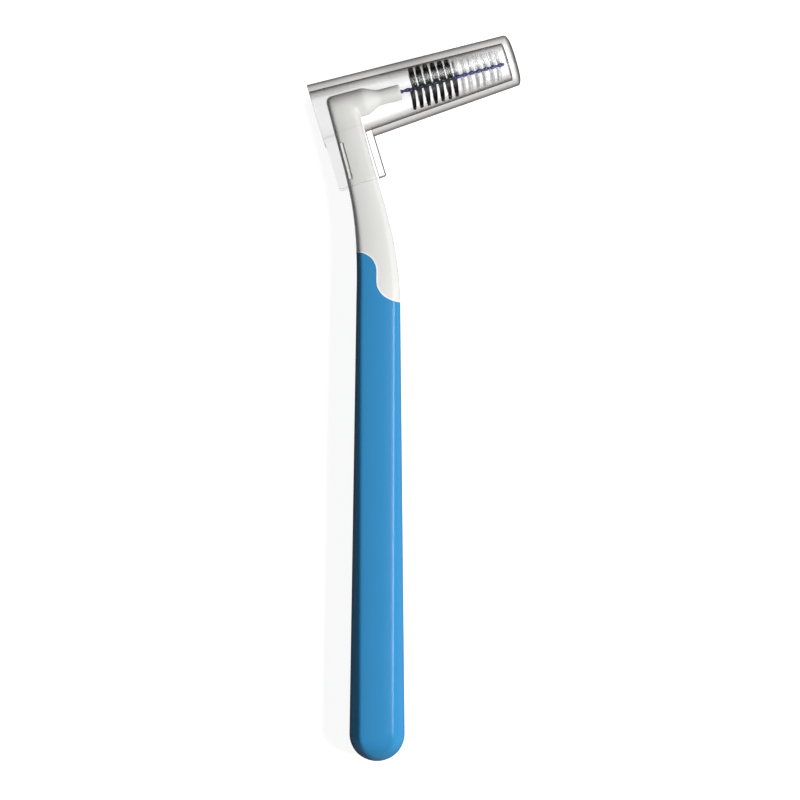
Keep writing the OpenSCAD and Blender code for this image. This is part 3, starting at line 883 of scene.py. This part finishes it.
class BRUSH_OT_handle_core(bpy.types.Operator):
    """Builds the white moulding: the core inside the grip, the neck and the arm"""

    bl_idname = "brush.handle_core"
    bl_label = "Handle Core"

    def execute(self, context):
        handle = context.scene.brush_handle
        brush = context.scene.brush_sizes
        core = handle_body("handle_core_moulding", handle, 0)
        combine(core, arm_body("arm", handle), "UNION")
        soften(core, CORE_VOXEL, CORE_EASE_ROUNDS)
        ease_near(core, head_bend(handle, brush), HEAD_EASE_R, HEAD_EASE_ROUNDS)
        skin_space = below_edge("skin_space", handle, 0)
        combine(skin_space, handle_body("inner", handle, handle.skin_t), "DIFFERENCE")
        combine(core, skin_space, "DIFFERENCE")
        for side in (-1, 1):
            combine(core, neck_groove(handle, side), "DIFFERENCE")
        hole_r = brush.wire_d + brush.leg_gap / 2 + HOLE_ROOM
        hole = arc(0, 0, hole_r, 0, 360 - 360 / HOLE_SIDES, HOLE_SIDES - 1)
        drill = extrude("drill", hole, handle.arm_l - brush.wire_hold_l, handle.arm_l + OVERRUN)
        drill.data.transform(Matrix.Rotation(math.radians(90), 4, "Y"))
        combine(core, place(drill, arm_frame(handle)), "DIFFERENCE")
        shade(core, 32)
        finish_piece(core, moulded_polypropylene(context.scene.brush_colours.core), "brush",
                     "white_core", "handle_core")
        return {"FINISHED"}


def soften(piece, voxel, rounds):
    """Remeshes a piece evenly and eases its creases."""
    remesh = piece.modifiers.new("remesh", "REMESH")
    remesh.mode = "VOXEL"
    remesh.voxel_size = voxel
    ease_out = piece.modifiers.new("ease", "SMOOTH")
    ease_out.factor = 0.5
    ease_out.iterations = rounds
    apply_modifiers(piece)


def ease_near(piece, centre, radius, rounds):
    """Eases the creases of a piece about a point, less and less towards a radius."""
    group = piece.vertex_groups.new(name="near")
    for vertex in piece.data.vertices:
        left = 1 - (vertex.co - centre).length / radius
        if left > 0:
            group.add([vertex.index], min(1.0, 2 * left), "REPLACE")
    ease_out = piece.modifiers.new("ease_near", "SMOOTH")
    ease_out.factor = 0.5
    ease_out.iterations = rounds
    ease_out.vertex_group = "near"
    apply_modifiers(piece)
    piece.vertex_groups.clear()


def neck_groove(handle, side):
    """Tool for the narrow groove in one face of the neck, with rounded edges at its floor."""
    depth = handle.groove_d
    x = -handle.neck_w / 2 + handle.groove_inset
    low = -handle.groove_drop - handle.groove_l
    outline = [(x, low), (x + handle.groove_w, low), (x + handle.groove_w, -handle.groove_drop),
               (x, -handle.groove_drop)]
    face = (handle.neck_d / 2
            - (handle.neck_w / 2 - handle.neck_slant_w) * math.tan(handle.face_bulge / 2))
    start, end = (face - depth, face + handle.neck_d) if side > 0 else (-face - handle.neck_d,
                                                                        -face + depth)
    return place(extrude("groove", outline, start, end, GROOVE_EDGE_R), arm_frame(handle))


# Gap between the skin and the core, and the lip's width and its height over the skin
SKIN_GAP = 0.03 * MM
LIP_W = 0.24 * MM
LIP_H = 0.05 * MM


class BRUSH_OT_soft_grip(bpy.types.Operator):
    """Builds the blue skin over the core and the white lip along its edge, painted lighter as a highlight
    """

    bl_idname = "brush.soft_grip"
    bl_label = "Soft Grip"

    def execute(self, context):
        handle = context.scene.brush_handle
        grip = handle_body("soft_grip_skin", handle, 0)
        combine(grip, below_edge("edge", handle, -SKIN_GAP), "INTERSECT")
        combine(grip, handle_body("inner", handle, handle.skin_t - SKIN_GAP), "DIFFERENCE")
        shade(grip, 32)
        finish_piece(grip, moulded_elastomer(context.scene.brush_colours.grip), "brush",
                     "blue_grip", "soft_grip")
        # The lip gets the lighter lip colour, a painted highlight along the skin's edge
        highlit_lip = handle_body("neck_lip", handle, -LIP_H)
        combine(highlit_lip, below_edge("edge", handle, LIP_W), "INTERSECT")
        combine(highlit_lip, below_edge("edge", handle, 0), "DIFFERENCE")
        combine(highlit_lip, handle_body("inner", handle, LIP_W), "DIFFERENCE")
        shade(highlit_lip, 50)
        finish_piece(highlit_lip, moulded_polypropylene(context.scene.brush_colours.highlit_lip), "brush",
                     "white_core")
        return {"FINISHED"}


# Sides of the wire, rings in each of its twists, and degrees from ring to ring round its fold
WIRE_SIDES = 14
WIRE_RINGS = 24
FOLD_STEP = 15


class BRUSH_OT_wire(bpy.types.Operator):
    """Builds the folded and twisted wire"""

    bl_idname = "brush.wire"
    bl_label = "Twisted Wire"

    def execute(self, context):
        handle = context.scene.brush_handle
        brush = context.scene.brush_sizes
        points = wire_path(handle, brush)
        wire = place(tube("twisted_wire_coated", points, brush.wire_d / 2, WIRE_SIDES),
                     arm_frame(handle))
        shade(wire, 60)
        finish_piece(wire, coated_steel(context.scene.brush_colours.wire), "brush",
                     "blue_wire", "twisted_wire")
        return {"FINISHED"}


def brush_lines(handle, brush):
    """Where the black and the clear filaments start, where they end, and the wire's tip."""
    black = handle.arm_l + brush.bare_l
    clear = black + brush.black_l
    end = clear + brush.clear_l
    return black, clear, end, end + brush.wire_tip_l


def wire_path(handle, brush):
    """Middle line of the wire: out along one leg, round the fold and back along the other."""
    tip = brush_lines(handle, brush)[3]
    leg_r = (brush.wire_d + brush.leg_gap) / 2
    start = handle.arm_l - brush.wire_hold_l
    end = tip - leg_r - brush.wire_d / 2
    run = np.linspace(start, end, int((end - start) / brush.wire_pitch * WIRE_RINGS))
    angle = 2 * math.pi * (run - start) / brush.wire_pitch
    out = np.column_stack([run, leg_r * np.cos(angle), leg_r * np.sin(angle)])
    back = np.column_stack([run, -leg_r * np.cos(angle), -leg_r * np.sin(angle)])[::-1]
    side = out[-1] - (end, 0, 0)
    fold = [np.array((end, 0, 0)) + side * math.cos(t) + np.array((leg_r * math.sin(t), 0, 0))
            for t in np.radians(np.arange(FOLD_STEP, 180, FOLD_STEP))]
    return np.vstack([out, fold, back])


def tube(name, points, radius, sides):
    """Tube of one radius along a line of points, shut at both ends."""
    way = np.gradient(points, axis=0)
    way /= np.linalg.norm(way, axis=1)[:, None]
    across = np.cross(way[0], (0, 0, 1.0))
    across /= np.linalg.norm(across)
    angles = np.arange(sides) * 2 * math.pi / sides
    rings = []
    for p, w in zip(points, way):
        across = across - w * (across @ w)
        across /= np.linalg.norm(across)
        other = np.cross(w, across)
        rings.append(p + radius * (np.outer(np.cos(angles), across)
                                   + np.outer(np.sin(angles), other)))
    return skin(name, rings)


class BRUSH_OT_filaments(bpy.types.Operator):
    """Builds the black and the clear filaments"""

    bl_idname = "brush.filaments"
    bl_label = "Filaments"

    def execute(self, context):
        handle = context.scene.brush_handle
        brush = context.scene.brush_sizes
        colours = context.scene.brush_colours
        black, clear, end, _ = brush_lines(handle, brush)
        for name, start, stop, in_turn, stray, material, slot, node in (
            ("black_filament_tufts", black, clear, brush.black_turn, BLACK_STRAY,
             drawn_black_nylon(colours.black), "black_nylon", "black_filaments"),
            ("clear_filament_tufts", clear, end, brush.clear_turn, CLEAR_STRAY,
             drawn_clear_nylon(colours.clear), "clear_nylon", "clear_filaments"),
        ):
            tufts = filament_row(name, handle, brush, start, stop, in_turn, stray)
            shade(tufts, 60)
            finish_piece(place(tufts, arm_frame(handle)), material, "brush", slot, node)
        return {"FINISHED"}


# Turn of the row's first filament, how closely filaments bunch on the two sides away from
# and towards the grip, and how far the tips lean back on the near side
ROW_START = math.radians(131)
BUNCH_SHARE = 0.7
SWEEP = 0.4 * MM
# How far filaments stray at the tip on the far side, at the tip on the near side and at the root
BLACK_STRAY = (0.3 * MM, 0.14 * MM, 0.25 * MM)
CLEAR_STRAY = (0.65 * MM, 0.34 * MM, 0.3 * MM)
# Spreads of the filaments' turn and reach, how far they curl, how much slimmer they are at the
# tip, the thickness left at their very end, and how far into the wire they reach
TURN_SPREAD = 0.05
REACH_SPREAD = 0.012
CURL = 0.1 * MM
SLIMMER_SHARE = 0.25
END_SHARE = 0.6
ROOT_SHARE = 0.75
# Power by which the brush tapers towards its tip
BRUSH_TAPER_POWER = 1.8
FILAMENT_RINGS = 5
FILAMENT_SIDES = 5
# Seed of the filaments' random draws
SEED = 7


def brush_radius(handle, brush, u):
    """Radius of the brush at a place along the arm."""
    black, _, end, _ = brush_lines(handle, brush)
    t = np.clip((u - black) / (end - black), 0, 1)
    return brush.base_d / 2 - (brush.base_d - brush.tip_d) / 2 * t ** BRUSH_TAPER_POWER


def filament_row(name, handle, brush, start, stop, in_turn, strays):
    """Spiral row of filaments: slim tapered strands that bend back a little."""
    chance = np.random.default_rng(SEED)
    black = brush_lines(handle, brush)[0]
    count = int((stop - start) / brush.row_pitch * in_turn)
    u = np.linspace(start, stop, count, endpoint=False)
    t = ROW_START + 2 * math.pi * (u - black) / brush.row_pitch
    for _ in range(2):
        t = t - BUNCH_SHARE / 2 * np.sin(2 * t)
    t = t + chance.normal(0, TURN_SPREAD, count)
    root = ROOT_SHARE * (brush.wire_d + brush.leg_gap / 2)
    reach = brush_radius(handle, brush, u) * (1 + chance.normal(0, REACH_SPREAD, count))
    far_share = (1 + np.cos(t)) / 2
    aside = chance.uniform(-1, 1, count)
    stray = aside * (strays[1] + (strays[0] - strays[1]) * far_share)
    back = SWEEP * (1 - far_share)
    curl = chance.normal(0, CURL, count)
    sides = np.arange(FILAMENT_SIDES) * 2 * math.pi / FILAMENT_SIDES
    points, faces = [], []
    for i in range(count):
        out = np.array((0, math.cos(t[i]), math.sin(t[i])))
        side = np.array((0, -math.sin(t[i]), math.cos(t[i])))
        base = len(points)
        for k in range(FILAMENT_RINGS):
            share = k / (FILAMENT_RINGS - 1)
            r = root + (reach[i] - root) * share
            drift = aside[i] * strays[2] * (1 - share) + stray[i] * share - back[i] * share ** 2
            middle = out * r + side * curl[i] * share ** 2 + np.array((u[i] + drift, 0, 0))
            thick = brush.filament_d / 2 * (1 - SLIMMER_SHARE * share)
            if k == FILAMENT_RINGS - 1:
                thick *= END_SHARE
            points += [middle + thick * (math.cos(a) * side + math.sin(a) * np.array((1, 0, 0)))
                       for a in sides]
        for k in range(FILAMENT_RINGS - 1):
            a = base + k * FILAMENT_SIDES
            for j in range(FILAMENT_SIDES):
                n = (j + 1) % FILAMENT_SIDES
                faces.append((a + j, a + n, a + FILAMENT_SIDES + n, a + FILAMENT_SIDES + j))
        faces.append(tuple(base + j for j in reversed(range(FILAMENT_SIDES))))
        top = base + (FILAMENT_RINGS - 1) * FILAMENT_SIDES
        faces.append(tuple(top + j for j in range(FILAMENT_SIDES)))
    mesh = bpy.data.meshes.new(name)
    mesh.from_pydata([tuple(p) for p in points], [], faces)
    return new_object(name, mesh)


# Points of each ring of the cap, its rings along the tube and round its rim, the steps of the
# skirt's corners and of the domes, and the powers that shape the domes of the cap's end and of
# its bore, where a lower one is squarer
CAP_POINTS = 120
CAP_RINGS = 24
CAP_RIM_RINGS = 5
CORNER_STEPS = 8
END_DOME_STEPS = (0, 6, 12, 20, 30, 40, 50, 60, 70, 78, 84, 88)
END_DOME_POWER = 0.5
BORE_DOME_STEPS = (15, 30, 45, 60, 72, 82, 88)
BORE_DOME_POWER = 0.4


def cap_ring(a, half_h, half_d):
    """Oval ring across the cap's axis."""
    angles = (np.arange(CAP_POINTS) + 0.5) * 2 * math.pi / CAP_POINTS
    return np.column_stack([np.full(CAP_POINTS, a), -half_h * np.cos(angles),
                            half_d * np.sin(angles)])


def cap_dome(a, height, half_h, half_d, power, steps):
    """Rings of a dome that rises by its height from a place along the cap's axis."""
    return [cap_ring(a + height * math.sin(t), math.cos(t) ** power * half_h,
                     math.cos(t) ** power * half_d) for t in np.radians(steps)]


class BRUSH_OT_travel_cap(bpy.types.Operator):
    """Builds the clear cap: a tapered tube with a domed end and a skirt round the neck"""

    bl_idname = "brush.travel_cap"
    bl_label = "Travel Cap"

    def execute(self, context):
        handle = context.scene.brush_handle
        brush = context.scene.brush_sizes
        cap = context.scene.brush_cap
        black, _, _, tip = brush_lines(handle, brush)
        mouth = -(handle.neck_w / 2 + cap.overhang)
        bore_end = tip + cap.end_room
        rim = bore_end + cap.end_wall

        def bore(a):
            return (brush.base_d / 2 + cap.room - (a - black) * math.tan(cap.taper),
                    brush.base_d / 2 + cap.side_room - (a - black) * math.tan(cap.side_taper))

        def outer(a, drawn=0.0):
            half_h, half_d = bore(a)
            return cap_ring(a, half_h + cap.wall - drawn, half_d + cap.side_wall - drawn)

        edge = cap.edge_r
        quarter = np.radians(np.linspace(0, 90, CAP_RIM_RINGS))
        rings = [outer(mouth + edge * (1 - math.sin(t)), edge * (1 - math.cos(t)))
                 for t in quarter[::-1]]
        rings += [outer(a) for a in np.linspace(mouth + edge, rim, CAP_RINGS)[1:-1]]
        half_h, half_d = bore(rim)
        rings += cap_dome(rim, cap.dome_h, half_h + cap.wall, half_d + cap.side_wall,
                          END_DOME_POWER, END_DOME_STEPS)
        body = skin("travel_cap_moulding", rings)

        slot_half = handle.neck_d / 2 + cap.skirt_clear
        slot_to = handle.neck_w / 2 + cap.skirt_clear
        skirt_half = slot_half + cap.skirt_t
        skirt_from = mouth + cap.skirt_inset
        skirt_to = slot_to + cap.wall
        r = cap.skirt_corner_r
        low = -cap.skirt_drop
        plates = [(slot_to, 0), (skirt_from, 0)]
        plates += arc(skirt_from + r, low + r, r, 180, 270, CORNER_STEPS)
        plates.append((slot_to, low))
        combine(body, extrude("plates", plates, -skirt_half, skirt_half, cap.skirt_edge_r), "UNION")
        wall = [(skirt_to, 0), (slot_to - OVERRUN, 0), (slot_to - OVERRUN, low)]
        wall += arc(skirt_to - r, low + r, r, 270, 360, CORNER_STEPS)
        wall = extrude("wall", wall, -skirt_half, skirt_half, cap.skirt_edge_r, cap.draft)
        combine(body, wall, "UNION")
        dome_from = bore_end - cap.bore_dome_h
        inner = [cap_ring(mouth - OVERRUN, *bore(mouth - OVERRUN))]
        inner += [cap_ring(a, *bore(a)) for a in np.linspace(mouth, dome_from, CAP_RINGS)]
        inner += cap_dome(dome_from, cap.bore_dome_h, *bore(dome_from), BORE_DOME_POWER,
                          BORE_DOME_STEPS)
        combine(body, skin("bore", inner), "DIFFERENCE")
        slot = [(mouth - OVERRUN, low - OVERRUN), (slot_to, low - OVERRUN), (slot_to, 0),
                (mouth - OVERRUN, 0)]
        combine(body, extrude("slot", slot, -slot_half, slot_half, 0, cap.draft / 2), "DIFFERENCE")
        shade(body, 30)
        place(body, cap_frame(handle, cap))
        finish_piece(body, moulded_styrene(context.scene.brush_colours.cap), "cap", "clear_cap",
                     "travel_cap")
        return {"FINISHED"}


class BRUSH_PT_build(bpy.types.Panel):
    """Lists the steps that build the brush"""

    bl_idname = "BRUSH_PT_build"
    bl_label = "Interdental Brush"
    bl_space_type = "VIEW_3D"
    bl_region_type = "UI"
    bl_category = "Brush"

    def draw(self, context):
        for operator in STEPS:
            self.layout.operator(operator.bl_idname)


GROUPS = {
    "brush_handle": HandleSizes,
    "brush_sizes": BrushSizes,
    "brush_cap": CapSizes,
    "brush_colours": BrushColours,
}
STEPS = (
    BRUSH_OT_stage,
    BRUSH_OT_handle_core,
    BRUSH_OT_soft_grip,
    BRUSH_OT_wire,
    BRUSH_OT_filaments,
    BRUSH_OT_travel_cap,
)


def register():
    for group in (*GROUPS.values(), *STEPS, BRUSH_PT_build):
        bpy.utils.register_class(group)
    for name, group in GROUPS.items():
        setattr(bpy.types.Scene, name, PointerProperty(type=group))


def unregister():
    for name in GROUPS:
        delattr(bpy.types.Scene, name)
    for group in reversed((*GROUPS.values(), *STEPS, BRUSH_PT_build)):
        bpy.utils.unregister_class(group)


def main():
    """Builds the whole object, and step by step."""
    register()
    bpy.context.scene.view_settings.view_transform = "Standard"
    bpy.ops.brush.stage()
    bpy.ops.brush.handle_core()
    bpy.ops.brush.soft_grip()
    bpy.ops.brush.wire()
    bpy.ops.brush.filaments()
    bpy.ops.brush.travel_cap()


if __name__ == "__main__":
    main()
